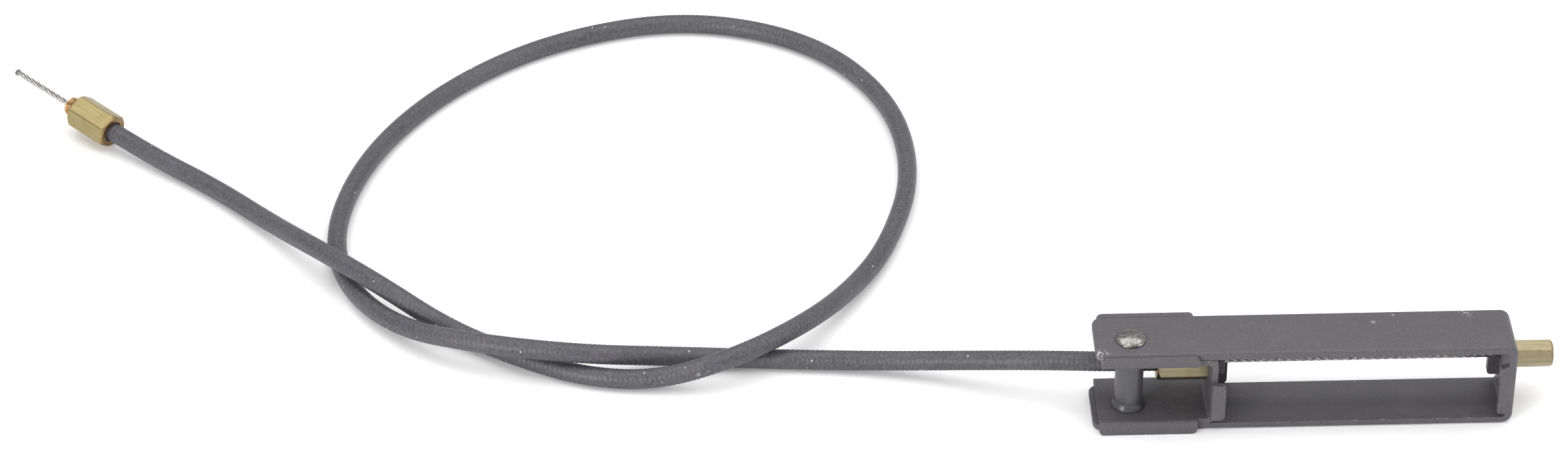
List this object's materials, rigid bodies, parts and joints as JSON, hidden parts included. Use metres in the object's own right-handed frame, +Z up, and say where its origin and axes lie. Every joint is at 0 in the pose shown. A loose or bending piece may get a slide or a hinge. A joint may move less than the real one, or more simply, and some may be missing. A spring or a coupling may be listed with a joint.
{
  "type": "cable shutter release",
  "caption": "Folded sheet bracket whose sliding pull wire runs through a flexible cased cable to a threaded nose and a push tip.",
  "frame": {"origin": "middle of the bracket's box on the surface that it stands on, the free cable left out", "axes": "+X along the bracket towards the pull terminal, +Y across it to the back, +Z up"},
  "size_m": [0.3846, 0.1822, 0.0243],
  "materials": {
    "frame_paint": "satin",
    "rivet_nickel": "polished",
    "post_dark": "satin",
    "ferrule_brass": "machined",
    "terminal_brass": "machined",
    "far_brass": "machined",
    "nut_dark": "rough",
    "nose_bronze": "satin",
    "wire_steel": "stranded",
    "tip_dark": "dull",
    "sheath_cover": "ribbed satin",
    "coil_steel": "dull",
    "liner_plastic": "smooth"
  },
  "bodies": {
    "bracket": {"outer_frame": "frame_paint", "inner_yoke": "frame_paint", "rivet": "rivet_nickel", "spacer_post": "post_dark", "frame_ferrule": "ferrule_brass", "lock_nut": "nut_dark", "sheath_cover": "sheath_cover", "sheath_coil": "coil_steel", "sheath_liner": "liner_plastic", "core_wire": "wire_steel", "far_ferrule": "far_brass", "threaded_nose": "nose_bronze"},
    "pull_wire": {"window_wire": "wire_steel", "wire_nipple": "wire_steel", "pull_terminal": "terminal_brass"},
    "push_tip": {"tip_wire": "wire_steel", "tip_bead": "tip_dark"}
  },
  "joints": [
    {"name": "wire_pull", "type": "slide", "parent": "bracket", "child": "pull_wire", "axis": [1, 0, 0], "range_m": [0, 0.01]},
    {"name": "tip_slide", "type": "slide", "parent": "bracket", "child": "push_tip", "axis": [0.7598, -0.6376, -0.1271], "range_m": [0, 0.01]}
  ],
  "couplings": [
    {"joint": "tip_slide", "follows": "wire_pull", "ratio": 1}
  ]
}
